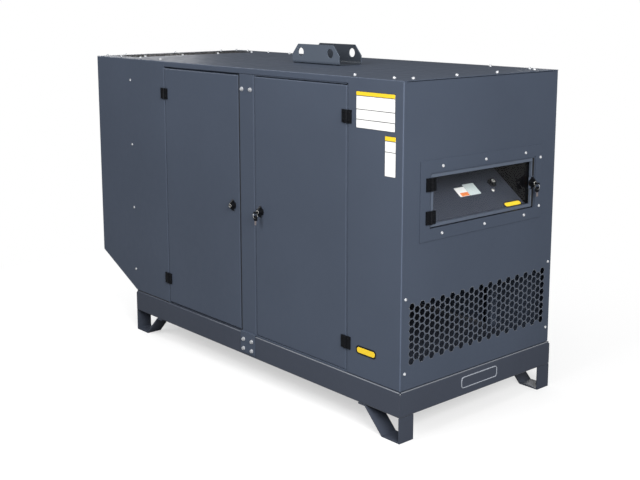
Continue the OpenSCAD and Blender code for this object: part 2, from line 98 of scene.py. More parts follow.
class Shader:
    """A material with one Principled shader and short calls for the nodes that feed it."""

    def __init__(self, name):
        self.material = bpy.data.materials.new(name)
        self.material.use_nodes = True
        self.tree = self.material.node_tree
        self.bsdf = self.tree.nodes["Principled BSDF"]
        coordinates = self.node("ShaderNodeTexCoord").outputs
        self.place = coordinates["Object"]
        self.lean = coordinates["Normal"]

    def node(self, kind, **sockets):
        made = self.tree.nodes.new(kind)
        for name, value in sockets.items():
            self.put(made.inputs[name.replace("_", " ")], value)
        return made

    def put(self, socket, value):
        if isinstance(value, bpy.types.NodeSocket):
            self.tree.links.new(value, socket)
        else:
            socket.default_value = value

    def set(self, **sockets):
        for name, value in sockets.items():
            self.put(self.bsdf.inputs[name.replace("_", " ")], value)

    def blend(self, share, second):
        """Shows a second shader, by a share, in place of the Principled one."""
        mixed = self.node("ShaderNodeMixShader")
        for socket, value in zip(mixed.inputs, (share, self.bsdf.outputs[0], second)):
            self.put(socket, value)
        self.put(self.tree.nodes["Material Output"].inputs["Surface"], mixed.outputs[0])

    def noise(self, scale, detail):
        made = self.node("ShaderNodeTexNoise", Vector=self.place, Scale=scale, Detail=detail)
        return made.outputs["Fac"]

    def ramp(self, value, low, high, from_low, from_high):
        made = self.node("ShaderNodeMapRange", Value=value, From_Min=from_low, From_Max=from_high,
                         To_Min=low, To_Max=high)
        return made.outputs["Result"]

    def cloud(self, texture, low=0.0, high=1.0):
        """A texture whose values drift from low to high."""
        return self.ramp(self.noise(*texture), low, high, *NOISE_RANGE)

    def mix(self, share, first, second):
        made = self.tree.nodes.new("ShaderNodeMix")
        made.data_type = "RGBA"
        self.put(made.inputs["Factor"], share)
        self.put(made.inputs[MIX_FIRST], first)
        self.put(made.inputs[MIX_SECOND], second)
        return made.outputs[MIX_RESULT]

    def shades(self, texture, color, tones):
        """A colour that drifts between two tones of itself."""
        return self.mix(self.cloud(texture), tint(color, tones[0]), tint(color, tones[1]))

    def math(self, operation, first, second=0.0):
        made = self.tree.nodes.new("ShaderNodeMath")
        made.operation = operation
        self.put(made.inputs[0], first)
        self.put(made.inputs[1], second)
        return made.outputs[0]

    def bump(self, height, strength, distance, soft=0.0):
        """Fine relief, over edges that look rounded by the soft radius."""
        made = self.node("ShaderNodeBump", Height=height, Strength=strength, Distance=distance)
        if soft:
            self.put(made.inputs["Normal"], self.bevel(soft))
        self.set(Normal=made.outputs["Normal"])

    def bevel(self, radius):
        made = self.node("ShaderNodeBevel", Radius=radius)
        made.samples = BEVEL_SAMPLES
        return made.outputs["Normal"]

    def along(self, axis):
        return self.node("ShaderNodeSeparateXYZ", Vector=self.place).outputs[axis]

    def aside(self):
        """Distance from the object's long middle plane."""
        return self.math("ABSOLUTE", self.along("Y"))

    def leaning(self, axis):
        """How squarely faces look along an axis, either way."""
        return self.math("ABSOLUTE", self.node("ShaderNodeSeparateXYZ", Vector=self.lean).outputs[axis])

    def edges(self, radius):
        """1 along the edges of the mesh, 0 on its flats."""
        dot = self.tree.nodes.new("ShaderNodeVectorMath")
        dot.operation = "DOT_PRODUCT"
        self.put(dot.inputs[0], self.bevel(radius))
        self.put(dot.inputs[1], self.tree.nodes.new("ShaderNodeNewGeometry").outputs["True Normal"])
        return self.ramp(dot.outputs["Value"], 1.0, 0.0, *EDGE_COSINES)

    def bends(self):
        """1 on faces that lean halfway between two main directions, as on a rounded bend, 0 on flats."""
        most = 0.0
        for axis in "XYZ":
            most = self.math("MAXIMUM", self.leaning(axis), most)
        return self.ramp(most, 1.0, 0.0, *BEND_COSINES)


# Textures: cycles per metre, and octaves
COAT_DRIFT = (1.7, 3.0)
COAT_SPECKS = (420.0, 2.0)
COAT_BREAKUP = (60.0, 3.0)
COAT_SHEEN = (26.0, 4.0)
COAT_GRAIN = (850.0, 2.0)
METAL_CLOUD = (240.0, 3.0)
METAL_SHEEN = (700.0, 2.0)
METAL_GRAIN = (1600.0, 2.0)
MOULDED_DRIFT = (35.0, 3.0)
MOULDED_SHEEN = (60.0, 3.0)
MOULDED_GRAIN = (1100.0, 2.0)
FILM_CLOUD = (90.0, 3.0)
FILM_SHEEN = (40.0, 2.0)
FILM_GRAIN = (500.0, 2.0)
PANE_HAZE = (9.0, 4.0)

# Tones, as factors on the finish's colour
COAT_TONES = (0.94, 1.06)
COAT_SPECK_TONE = 1.35
# Paler tone along edges and bends: partly abrasion, partly a painted highlight
COAT_PALED_TONE = 2.3
# Darker tone painted as shade inside a channel
COAT_SHADED_TONE = 0.42
METAL_TONES = (0.86, 1.08)
MOULDED_TONES = (0.8, 1.25)
MOULDED_WORN_TONE = 4.0
FILM_TONES = (0.98, 1.01)
PANE_TONES = ((0.95, 0.97, 0.97, 1.0), (0.99, 0.99, 0.99, 1.0))

# Relief: strength, and depth in metres
COAT_RELIEF = (0.10, 0.0004)
METAL_RELIEF = (0.08, 0.0002)
MOULDED_DEPTH = 0.0003
FILM_RELIEF = (0.05, 0.0002)

# Specks of the coat and breakup of its paler edges: the noise levels that they span, and what those become
COAT_SPECK_RANGE = (0.52, 0.72)
COAT_SPECK_SHARES = (0.0, 0.22)
COAT_BREAKUP_RANGE = (0.35, 0.65)
COAT_BREAKUP_SHARES = (0.35, 1.0)

# Cosines over which the walls of holes fade into painted shade
HOLE_WALL_COSINES = (0.3, 0.9)
MOULDED_EDGE = 0.0012
FILM_ROUGH = (0.30, 0.42)
FILM_GLOSS = 0.25
PANE_IOR = 1.15


def painted(name, color, rough=(0.42, 0.54), gloss=0.25, edge_paling=0.35, paled_color=None, edge_r=0.0022, soft=0.0015,
            bend=0.0, bend_run=None, field=None, walls=None, channel=0.0):
    """Fine-textured powder coat, paler along edges and on bends.

    edge_paling and bend say how far it pales towards paled_color within edge_r of an edge and on bends: along
    edges that is partly abrasion and partly a painted highlight, on bends a painted highlight. soft is the
    radius that edges are shaded with. bend_run is the stretch along X over which the painted highlight of
    bends sets in.
    field is the half width, foot and head of the area of an end sheet whose edges pale. walls is the colour
    painted as shade on the walls of holes that run along X. channel is the half width of a channel along X
    whose inside is darkened as painted shade."""
    shader = Shader(name)
    body = shader.shades(COAT_DRIFT, color, COAT_TONES)
    speck = shader.ramp(shader.noise(*COAT_SPECKS), *COAT_SPECK_SHARES, *COAT_SPECK_RANGE)
    body = shader.mix(speck, body, tint(color, COAT_SPECK_TONE))
    # Edges pale, partly as abrasion and partly as a painted highlight, broken up by noise
    breakup = shader.ramp(shader.noise(*COAT_BREAKUP), *COAT_BREAKUP_SHARES, *COAT_BREAKUP_RANGE)
    edge = shader.math("MULTIPLY", shader.edges(edge_r), breakup)
    edge = shader.math("MULTIPLY", edge, edge_paling)
    if field:
        half, foot, head = field
        limits = (("LESS_THAN", shader.aside(), half), ("GREATER_THAN", shader.along("Z"), foot),
                  ("LESS_THAN", shader.along("Z"), head))
        for limit in limits:
            edge = shader.math("MULTIPLY", edge, shader.math(*limit))
    # A painted highlight on rounded bends
    if bend:
        thin = shader.math("MULTIPLY", shader.bends(), bend)
        if bend_run:
            thin = shader.math("MULTIPLY", thin, shader.ramp(shader.along("X"), 0.0, 1.0, *bend_run))
        edge = shader.math("MAXIMUM", edge, thin)
    coat = shader.mix(edge, body, paled_color or tint(color, COAT_PALED_TONE))
    # Painted shade on the walls of holes
    if walls:
        coat = shader.mix(shader.ramp(shader.leaning("X"), 1.0, 0.0, *HOLE_WALL_COSINES), coat, walls)
    # Painted shade inside a channel
    if channel:
        inside = shader.math("LESS_THAN", shader.aside(), channel)
        coat = shader.mix(inside, coat, tint(color, COAT_SHADED_TONE))
    shader.set(Base_Color=coat, Specular_IOR_Level=gloss, Roughness=shader.cloud(COAT_SHEEN, *rough))
    shader.bump(shader.noise(*COAT_GRAIN), *COAT_RELIEF, soft)
    return shader.material


def metal(name, color, metallic, rough=(0.22, 0.38)):
    """Zinc or nickel plate with a slightly cloudy finish; zinc flake is the less metallic."""
    shader = Shader(name)
    shader.set(Base_Color=shader.shades(METAL_CLOUD, color, METAL_TONES), Metallic=metallic)
    shader.set(Roughness=shader.cloud(METAL_SHEEN, *rough))
    shader.bump(shader.noise(*METAL_GRAIN), *METAL_RELIEF)
    return shader.material


def moulded(name, color, rough=(0.36, 0.52), grain=0.14, edge_paling=0.3, gloss=0.3):
    """Black moulded plastic, die-cast parts or rubber with a fine leathery grain."""
    shader = Shader(name)
    edge = shader.math("MULTIPLY", shader.edges(MOULDED_EDGE), edge_paling)
    body = shader.shades(MOULDED_DRIFT, color, MOULDED_TONES)
    shader.set(Base_Color=shader.mix(edge, body, tint(color, MOULDED_WORN_TONE)), Specular_IOR_Level=gloss)
    shader.set(Roughness=shader.cloud(MOULDED_SHEEN, *rough))
    shader.bump(shader.noise(*MOULDED_GRAIN), grain, MOULDED_DEPTH)
    return shader.material


def film(name, color):
    """Coloured film: even, faintly mottled and a little glossy."""
    shader = Shader(name)
    shader.set(Base_Color=shader.shades(FILM_CLOUD, color, FILM_TONES), Specular_IOR_Level=FILM_GLOSS)
    shader.set(Roughness=shader.cloud(FILM_SHEEN, *FILM_ROUGH))
    shader.bump(shader.noise(*FILM_GRAIN), *FILM_RELIEF)
    return shader.material


def clear_pane(name):
    """Clear sheet with a faint haze of handling marks, which lets the lamps' light through."""
    shader = Shader(name)
    shader.set(Base_Color=shader.mix(shader.cloud(PANE_HAZE), *PANE_TONES))
    shader.set(Transmission_Weight=1.0, Roughness=0.0, IOR=PANE_IOR)
    lamp_ray = shader.node("ShaderNodeLightPath").outputs["Is Shadow Ray"]
    shader.blend(lamp_ray, shader.node("ShaderNodeBsdfTransparent").outputs[0])
    return shader.material


BODY_COLOR = (0.054, 0.068, 0.097)
BASE_COLOR = (0.045, 0.053, 0.073)
# Colours of painted highlights along edges and bends, and of painted shade on the walls of holes
PAINTED_HIGHLIGHT = (0.23, 0.24, 0.26, 1.0)
HOLE_WALL_SHADE = (0.020, 0.024, 0.034, 1.0)
# Half width, foot and head of the honeycomb field, where the vent's edges get a painted highlight
VENT_FIELD = (0.43, 0.25, 0.57)
# Stretch of the rails, along X, over which the painted highlight on their bends sets in
RAIL_HIGHLIGHT_RUN = (-0.35, 0.45)
# Half width of the lifting bracket's channel, inside which the coat is darkened as painted shade
BRACKET_INNER_HALF = 0.0625

# bend paints a highlight on rounded bends; the edged paint, on the roof and right-hand panels, paints a
# stronger one
PAINT = painted("body_paint", BODY_COLOR, bend=0.12)
EDGED = painted("edged_paint", BODY_COLOR, bend=0.4)
PLAIN = painted("plain_paint", BODY_COLOR, edge_paling=0.0, soft=0.0)
# The vent's edges pale to a painted highlight within the honeycomb field; the walls of its holes take painted
# shade
VENT = painted("vent_paint", BODY_COLOR, edge_paling=1.7, paled_color=PAINTED_HIGHLIGHT, edge_r=0.004, soft=0.0,
               field=VENT_FIELD, walls=HOLE_WALL_SHADE)
BASE = painted("base_paint", BASE_COLOR)
# The rails' edges and bends pale to a painted highlight, which sets in along X
RAIL = painted("rail_paint", BASE_COLOR, edge_paling=0.15, paled_color=PAINTED_HIGHLIGHT, bend=0.8, bend_run=RAIL_HIGHLIGHT_RUN)
COVER = painted("cover_paint", (0.085, 0.104, 0.140))
# The lifting bracket: a painted highlight on its bends and painted shade inside its channel
LIFTING = painted("lifting_paint", (0.074, 0.090, 0.116), bend=0.2, channel=BRACKET_INNER_HALF)
RIM = painted("badge_rim", (0.29, 0.31, 0.35), edge_paling=0.6)
# The niche behind the window cover is near black: its tone is painted shade
RECESS_SHADE = painted("recess_shade_paint", (0.004, 0.004, 0.005), rough=(0.6, 0.7), gloss=0.06, edge_paling=0.1)
CONSOLE = painted("console_paint", (0.032, 0.037, 0.052), rough=(0.45, 0.58))
GRILLE = painted("grille_black", (0.020, 0.020, 0.021), rough=(0.45, 0.6), edge_paling=0.25)
BLACK = moulded("black_hardware", (0.005, 0.0055, 0.007), gloss=0.14)
RUBBER = moulded("seal_rubber", (0.012, 0.012, 0.012), rough=(0.65, 0.8), grain=0.2, edge_paling=0.1)
ZINC = metal("bright_zinc", (0.70, 0.71, 0.73), metallic=0.3)
DULL_ZINC = metal("dull_zinc", (0.47, 0.48, 0.50), metallic=0.3)
NICKEL = metal("nickel", (0.72, 0.71, 0.68), metallic=0.6, rough=(0.16, 0.28))
KEY_STEEL = metal("key_steel", (0.36, 0.31, 0.30), metallic=0.6, rough=(0.30, 0.42))
WHITE = film("white_film", (0.80, 0.80, 0.79))
PALE = film("pale_film", (0.52, 0.58, 0.58))
YELLOW = film("yellow_film", (0.80, 0.55, 0.03))
ORANGE = film("orange_film", (0.72, 0.20, 0.05))
DARK = film("dark_film", (0.012, 0.012, 0.012))
PANE = clear_pane("clear_pane")

SLOT_LOOKS = {"body_paint": PAINT, "base_paint": BASE, "console_paint": CONSOLE,
              "grille_black": GRILLE, "black_hardware": BLACK, "clear_pane": PANE}
# Nodes whose tone differs from their slot's
NODE_LOOKS = {"control_cover_frame": COVER, "control_box": RECESS_SHADE, "vent_panel": VENT,
              "end_panel": PLAIN, "hood_slope": PLAIN, "lifting_bracket": LIFTING,
              "roof": EDGED, "front_right_panel": EDGED, "back_right_panel": EDGED,
              "base_front_rail": RAIL, "base_back_rail": RAIL,
              "base_hood_end_rail": RAIL, "base_control_end_rail": RAIL}


def dress_nodes():
    """Every carried-over node takes its own look, or else that of its slot in the record."""
    for part in frame["record"]["subparts"]:
        mesh = frame["nodes"][part["node"]].data
        mesh.materials.clear()
        mesh.materials.append(NODE_LOOKS.get(part["node"], SLOT_LOOKS[part["material_slot"]]))


# Mesh helpers
MERGE_DISTANCE = 1e-6
SMOOTH_ANGLE = math.radians(35)
QUARTER_TURN = math.radians(90)
# A direction whose Z is over this counts as upright
UPRIGHT = 0.95
# Steps in a round corner: tiny slots, films, most outlines and wide badges
SLOT_STEPS, FILM_STEPS, CORNER_STEPS, BADGE_STEPS = 2, 3, 6, 8
HEX_SIDES = 6
# Run of a hexagon head's chamfer over its height
HEX_CHAMFER_RUN = 1.6
# Where a raised border's flat crest starts and ends, as shares of its width
CREST_SHARES = (0.25, 0.75)


def finish_piece(name, bm, materials, body):
    """Makes a piece from a bmesh, shades its soft edges smooth and sets it riding on a body."""
    bmesh.ops.remove_doubles(bm, verts=bm.verts, dist=MERGE_DISTANCE)
    bmesh.ops.recalc_face_normals(bm, faces=bm.faces)
    for edge in bm.edges:
        edge.smooth = len(edge.link_faces) == 2 and edge.calc_face_angle() < SMOOTH_ANGLE
    for face in bm.faces:
        face.smooth = True
    mesh = bpy.data.meshes.new(name)
    bm.to_mesh(mesh)
    bm.free()
    for material in materials:
        mesh.materials.append(material)
    piece = bpy.data.objects.new(name, mesh)
    bpy.context.scene.collection.objects.link(piece)
    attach(piece, body)


def facing(point, normal, turn=0.0):
    """A frame at a point whose Z looks along the normal and whose Y points up where it can."""
    up = UP if abs(normal.z) < UPRIGHT else BACK
    side = up.cross(normal).normalized()
    rise = normal.cross(side)
    spin = Matrix.Rotation(turn, 4, "Z")
    return Matrix.Translation(point) @ Matrix((side, rise, normal)).transposed().to_4x4() @ spin


def shifted(place, y=0.0, z=0.0):
    return place @ Matrix.Translation((0, y, z))


def outline_ring(bm, place, points, height):
    return [bm.verts.new(place @ Vector((x, y, height))) for x, y in points]


def round_points(radius, sides):
    angles = [2 * math.pi * (i / sides) for i in range(sides)]
    return [(radius * math.cos(angle), radius * math.sin(angle)) for angle in angles]


def rounded_outline(width, height, radius, steps=CORNER_STEPS):
    """Points of a rounded rectangle round the origin."""
    points = []
    for quarter, (sx, sy) in enumerate(((1, 1), (-1, 1), (-1, -1), (1, -1))):
        for i in range(steps + 1):
            angle = QUARTER_TURN * (quarter + i / steps)
            points.append((sx * (width / 2 - radius) + radius * math.cos(angle),
                           sy * (height / 2 - radius) + radius * math.sin(angle)))
    return points


def bridge(bm, low, high, material=0):
    count = len(low)
    for i in range(count):
        face = bm.faces.new((low[i], low[(i + 1) % count], high[(i + 1) % count], high[i]))
        face.material_index = material


def loft(bm, rings, material=0):
    """Skins a row of rings and closes both ends."""
    for low, high in zip(rings, rings[1:]):
        bridge(bm, low, high, material)
    for ring in (rings[0], rings[-1]):
        bm.faces.new(ring).material_index = material


def add_turned(bm, place, profile, sides, material=0):
    """Turns a list of (radius, height) points, closed at both ends."""
    rings = [outline_ring(bm, place, round_points(radius, sides), height) for radius, height in profile]
    loft(bm, rings, material)


def add_hex(bm, place, across, low, high, chamfer):
    """A hexagon head with a chamfered top."""
    radius = across / math.sqrt(3)
    top_radius = radius - HEX_CHAMFER_RUN * chamfer
    add_turned(bm, place, [(radius, low), (radius, high - chamfer), (top_radius, high)], HEX_SIDES)


def add_plate(bm, place, outline, low, high, chamfer, material=0):
    """A flat plate with a chamfered rim; its outline lies in the frame's XY plane."""
    centre = Vector((sum(p[0] for p in outline), sum(p[1] for p in outline))) / len(outline)
    reach = max((Vector(p) - centre).length for p in outline)
    inner = [centre + (Vector(p) - centre) * (1 - chamfer / reach) for p in outline]
    levels = ((outline, low), (outline, high - chamfer), (inner, high))
    loft(bm, [outline_ring(bm, place, points, z) for points, z in levels], material)


def add_loop(bm, place, outer, inner, low, high, chamfer, material=0):
    """A raised border between two outlines with the same number of points."""
    crests = [[Vector(a).lerp(Vector(b), share) for a, b in zip(outer, inner)] for share in CREST_SHARES]
    levels = ((outer, low), (outer, high - chamfer), (crests[0], high), (crests[1], high),
              (inner, high - chamfer), (inner, low))
    rings = [outline_ring(bm, place, points, z) for points, z in levels]
    for first, second in zip(rings, rings[1:] + rings[:1]):
        bridge(bm, first, second, material)


def add_torus(bm, place, radius, wire, sides, around, material=0):
    rings = []
    for x, y in round_points(1.0, sides):
        turned = [((radius + out) * x, (radius + out) * y, rise) for out, rise in round_points(wire, around)]
        rings.append([bm.verts.new(place @ Vector(point)) for point in turned])
    for low, high in zip(rings, rings[1:] + rings[:1]):
        bridge(bm, low, high, material)


# Fasteners; their profiles are shares of the radius and height
BOLT_ACROSS = 0.0124
BOLT_HEAD = 0.0068
BOLT_CHAMFER = 0.0009
WASHER_R = 0.0096
WASHER_T = 0.0016
WASHER_SHARES = ((1.0, 0.0), (1.0, 0.7), (0.95, 1.0))
WASHER_SIDES = 24
SCREW_R = 0.0061
SCREW_HEAD = 0.0036
SCREW_SHARES = ((1.0, 0.0), (1.0, 0.3), (0.82, 0.8), (0.55, 1.0), (0.42, 1.0), (0.42, 0.4))
SCREW_SIDES = 18
SMALL_SCREW = 0.65
TALL_SCREW = 2.2
# Turn from each fastener of a row to the next, in radians
FASTENER_TURN = 0.9


def add_bolt(bm, point, normal, turn):
    """Hexagon bolt on a plain washer."""
    place = facing(point, normal, turn)
    add_turned(bm, place, [(WASHER_R * r, WASHER_T * h) for r, h in WASHER_SHARES], WASHER_SIDES)
    add_hex(bm, place, BOLT_ACROSS, WASHER_T, WASHER_T + BOLT_HEAD, BOLT_CHAMFER)


def add_screw(bm, point, normal, turn, size=1.0, rise=1.0):
    """Low domed screw with a round socket."""
    place = facing(point, normal, turn) @ Matrix.Diagonal((size, size, size * rise, 1.0))
    add_turned(bm, place, [(SCREW_R * r, SCREW_HEAD * h) for r, h in SCREW_SHARES], SCREW_SIDES)


def add_small_screw(bm, point, normal, turn):
    add_screw(bm, point, normal, turn, size=SMALL_SCREW)


def add_tall_screw(bm, point, normal, turn):
    add_screw(bm, point, normal, turn, rise=TALL_SCREW)


def spread(low, high, count):
    return [low + (high - low) * i / (count - 1) for i in range(count)]


def fasteners(name, add, spots, normal, body="canopy", material=ZINC):
    bm = bmesh.new()
    for i, spot in enumerate(spots):
        add(bm, Vector(spot), normal, FASTENER_TURN * i)
    finish_piece(name, bm, [material], body)


# Bolts and screws of the walls, by their distances from the edges that they follow
HOOD_COLUMN_IN = 0.010
HOOD_COLUMN_FOOT = 0.106
HOOD_COLUMN_HEAD = 0.101
HOOD_COLUMN_COUNT = 4
POST_HALF = 0.029
POST_TOP_DROP = 0.063
TAB_ROWS = (0.030, 0.072)


def wall_bolts():
    hood_x = RAIL_LO.x - HOOD_COLUMN_IN
    column = spread(LEFT_PANEL_LO.z + HOOD_COLUMN_FOOT, ROOF_LO.z - HOOD_COLUMN_HEAD, HOOD_COLUMN_COUNT)
    pair = (MID_X - POST_HALF, MID_X + POST_HALF)
    for side, normal, wall, tab in (("front", FRONT, FRONT_Y, TAB_Y), ("back", BACK, BACK_Y, -TAB_Y)):
        hood = [(hood_x, wall, z) for z in column]
        fasteners(f"{side}_hood_screws", add_screw, hood, normal, material=DULL_ZINC)
        top = [(x, wall, POST_HI.z - POST_TOP_DROP) for x in pair]
        foot = [(x, tab, RAIL_LO.z + rise) for x in pair for rise in TAB_ROWS]
        fasteners(f"{side}_post_bolts", add_bolt, top + foot, normal, material=DULL_ZINC)


# Screws of the roof: along its sides, its two ends and the outlet
ROOF_SIDE_IN = 0.055
ROOF_HOOD_RUN = (0.098, -0.116)
ROOF_HOOD_COUNT = 3
ROOF_DOOR_RUN = (-0.014, 0.194)
ROOF_END_IN = 0.047
ROOF_END_HALF = 0.354
ROOF_END_COUNT = 4
ROOF_HOOD_IN = 0.024
ROOF_HOOD_YS = (-0.405, -0.30, 0.0, 0.30, 0.405)
OUTLET_ROW_OUT = 0.020
OUTLET_ROW_HALF = 0.33
OUTLET_ROW_COUNT = 4


def roof_bolts():
    z = ROOF_HI.z
    side_y = BACK_Y - ROOF_SIDE_IN
    xs = spread(OUTLET_LO.x + ROOF_HOOD_RUN[0], LEFT_DOOR_LO.x + ROOF_HOOD_RUN[1], ROOF_HOOD_COUNT)
    xs += [RIGHT_DOOR_HI.x + run for run in ROOF_DOOR_RUN]
    end_ys = spread(-ROOF_END_HALF, ROOF_END_HALF, ROOF_END_COUNT)
    outlet_ys = spread(-OUTLET_ROW_HALF, OUTLET_ROW_HALF, OUTLET_ROW_COUNT)
    spots = [(x, side * side_y, z) for side in (-1, 1) for x in xs]
    spots += [(ROOF_HI.x - ROOF_END_IN, y, z) for y in end_ys]
    spots += [(ROOF_LO.x + ROOF_HOOD_IN, y, z) for y in ROOF_HOOD_YS]
    spots += [(OUTLET_HI.x + OUTLET_ROW_OUT, y, z) for y in outlet_ys]
    fasteners("roof_screws", add_tall_screw, spots, UP, material=DULL_ZINC)


# Screws of the control end: round the window's plate and at the vent sheet's corners
SURROUND_TOP_IN = 0.026
SURROUND_FOOT_IN = 0.022
SURROUND_YS = (-0.24, 0.005, 0.25)
SURROUND_SIDE_IN = 0.012
SURROUND_SIDE_ZS = (1.004, 0.803)
VENT_SIDE_IN = 0.009
VENT_TOP_IN = 0.020
VENT_FOOT_IN = 0.064


def end_bolts():
    rows = (SURROUND_HI.z - SURROUND_TOP_IN, SURROUND_LO.z + SURROUND_FOOT_IN)
    spots = [(SURROUND_X, y, z) for z in rows for y in SURROUND_YS]
    spots += [(SURROUND_X, SURROUND_HI.y - SURROUND_SIDE_IN, z) for z in SURROUND_SIDE_ZS]
    fasteners("surround_screws", add_screw, spots, END)
    ys = (VENT_LO.y + VENT_SIDE_IN, VENT_HI.y - VENT_SIDE_IN)
    zs = (VENT_HI.z - VENT_TOP_IN, VENT_LO.z + VENT_FOOT_IN)
    fasteners("vent_panel_screws", add_screw, [(VENT_X, y, z) for y in ys for z in zs], END)


# Blank plates: heights of their layers above the wall, and the corners' radii
RULE_W = 0.0024
RULE_T = 0.0002
RULE_CHAMFER = 0.0001
RULE_ROUND_SHARE = 0.3
BORDER_T = 0.0004
BORDER_R = 0.003
SHEET_FOOT = 0.0003
SHEET_TOP = 0.0007
SHEET_R = 0.002
BAND_T = 0.0005
BAND_R = 0.0015
FILM_CHAMFER = 0.0002

# Places of the plates from the right panel's right edge and from the floor, sizes, and shares of their height
LARGE_PLATE_IN, LARGE_PLATE_Z = 0.143, 1.2355
LARGE_PLATE_W, LARGE_PLATE_H, LARGE_BAND = 0.201, 0.134, 0.0135
LARGE_RULE_SHARES = (0.110, 0.487, 0.768)
SMALL_PLATE_IN, SMALL_PLATE_Z = 0.064, 1.077
SMALL_PLATE_W, SMALL_PLATE_H, SMALL_BAND = 0.0535, 0.146, 0.0155
SMALL_RULE_SHARES = (0.116, 0.39)

# Oblong badges: sizes, heights of the layers, and shares of the badge's height
FRONT_PILL_IN, FRONT_PILL_Z = 0.182, 0.310
FRONT_PILL_W, FRONT_PILL_H = 0.110, 0.034
PILL_RIM_T, PILL_RIM_CHAMFER = 0.0012, 0.0005
PILL_TOP, PILL_CHAMFER = 0.0022, 0.0006
PILL_ROUND_SHARE = 0.42
PILL_ENDS_SHARE = 0.38
PILL_INNER_SHARE = 0.64
PILL_INNER_ROUND_SHARE = 0.28

# Raised plate on the end rail
RAIL_BADGE_Y, RAIL_BADGE_Z = -0.0035, 0.1535
RAIL_BADGE_W, RAIL_BADGE_H, RAIL_BADGE_R = 0.217, 0.047, 0.014
RAIL_BADGE_BORDER = 0.00375
RAIL_BADGE_INNER_R = 0.0105
RAIL_BADGE_T, RAIL_BADGE_CHAMFER = 0.0012, 0.0006
RAIL_BORDER_T, RAIL_BORDER_CHAMFER = 0.0032, 0.0010


def blank_plate(name, place, width, height, band, rule_shares):
    """White film plate with a dark border, a yellow band along its top and bare rows between thin rules."""
    border = rounded_outline(width + RULE_W, height + RULE_W, BORDER_R, FILM_STEPS)
    sheet = rounded_outline(width, height, SHEET_R, FILM_STEPS)
    strip = rounded_outline(width, band, BAND_R, FILM_STEPS)
    rule = rounded_outline(width, RULE_W, RULE_W * RULE_ROUND_SHARE, SLOT_STEPS)
    bm = bmesh.new()
    add_plate(bm, place, border, 0.0, BORDER_T, FILM_CHAMFER, 2)
    add_plate(bm, place, sheet, SHEET_FOOT, SHEET_TOP, FILM_CHAMFER, 0)
    add_plate(bm, shifted(place, y=(height - band) / 2, z=SHEET_TOP), strip, 0.0, BAND_T, FILM_CHAMFER, 1)
    for share in rule_shares:
        row = shifted(place, y=height * (0.5 - share), z=SHEET_TOP)
        add_plate(bm, row, rule, 0.0, RULE_T, RULE_CHAMFER, 2)
    finish_piece(name, bm, [WHITE, YELLOW, DARK], "canopy")


def pill_badge(name, place, width, height):
    """Yellow oblong badge with a dark rim, bare of words."""
    rim = rounded_outline(width, height, height * PILL_ROUND_SHARE, BADGE_STEPS)
    inner = rounded_outline(width - height * PILL_ENDS_SHARE, height * PILL_INNER_SHARE,
                            height * PILL_INNER_ROUND_SHARE, BADGE_STEPS)
    bm = bmesh.new()
    add_plate(bm, place, rim, 0.0, PILL_RIM_T, PILL_RIM_CHAMFER, 0)
    add_plate(bm, place, inner, PILL_RIM_T, PILL_TOP, PILL_CHAMFER, 1)
    finish_piece(name, bm, [DARK, YELLOW], "canopy")


def on_right_panel(inset, z):
    return facing(Vector((RIGHT_PANEL_HI.x - inset, FRONT_Y, z)), FRONT)


def front_plates():
    blank_plate("blank_plate_large", on_right_panel(LARGE_PLATE_IN, LARGE_PLATE_Z),
                LARGE_PLATE_W, LARGE_PLATE_H, LARGE_BAND, LARGE_RULE_SHARES)
    blank_plate("blank_plate_small", on_right_panel(SMALL_PLATE_IN, SMALL_PLATE_Z),
                SMALL_PLATE_W, SMALL_PLATE_H, SMALL_BAND, SMALL_RULE_SHARES)
    pill_badge("front_pill_badge", on_right_panel(FRONT_PILL_IN, FRONT_PILL_Z), FRONT_PILL_W, FRONT_PILL_H)


def rail_badge():
    """Bare raised plate, painted with the rail, with a paler border."""
    place = facing(Vector((END_RAIL_HI.x, RAIL_BADGE_Y, RAIL_BADGE_Z)), END)
    outer = rounded_outline(RAIL_BADGE_W, RAIL_BADGE_H, RAIL_BADGE_R, BADGE_STEPS)
    inner = rounded_outline(RAIL_BADGE_W - 2 * RAIL_BADGE_BORDER, RAIL_BADGE_H - 2 * RAIL_BADGE_BORDER,
                            RAIL_BADGE_INNER_R, BADGE_STEPS)
    bm = bmesh.new()
    add_plate(bm, place, inner, 0.0, RAIL_BADGE_T, RAIL_BADGE_CHAMFER, 0)
    add_loop(bm, place, outer, inner, 0.0, RAIL_BORDER_T, RAIL_BORDER_CHAMFER, 1)
    finish_piece("rail_badge_border", bm, [BASE, RIM], "canopy")


# Console: the slanted plane behind the window cover; its lower edge is the sill
SILL_BACK = 0.012
STEEL_T = SURROUND_HI.x - SURROUND_LO.x
SILL = Vector((COVER_LO.x - SILL_BACK, 0, CONSOLE_LO.z + STEEL_T))
# Films: place across and up the console, width, height, corner radius, lower and upper face, chamfer
CONSOLE_FILMS = ((0.024, 0.131, 0.058, 0.048, 0.002, 0.0, 0.0008, 0.0003),
                 (0.029, 0.117, 0.045, 0.018, 0.001, 0.0008, 0.0012, 0.0002),
                 (0.087, 0.136, 0.066, 0.060, 0.002, 0.0002, 0.0011, 0.0003))
CONSOLE_PILL_Y, CONSOLE_PILL_UP = 0.241, 0.026
CONSOLE_PILL_W, CONSOLE_PILL_H = 0.108, 0.030
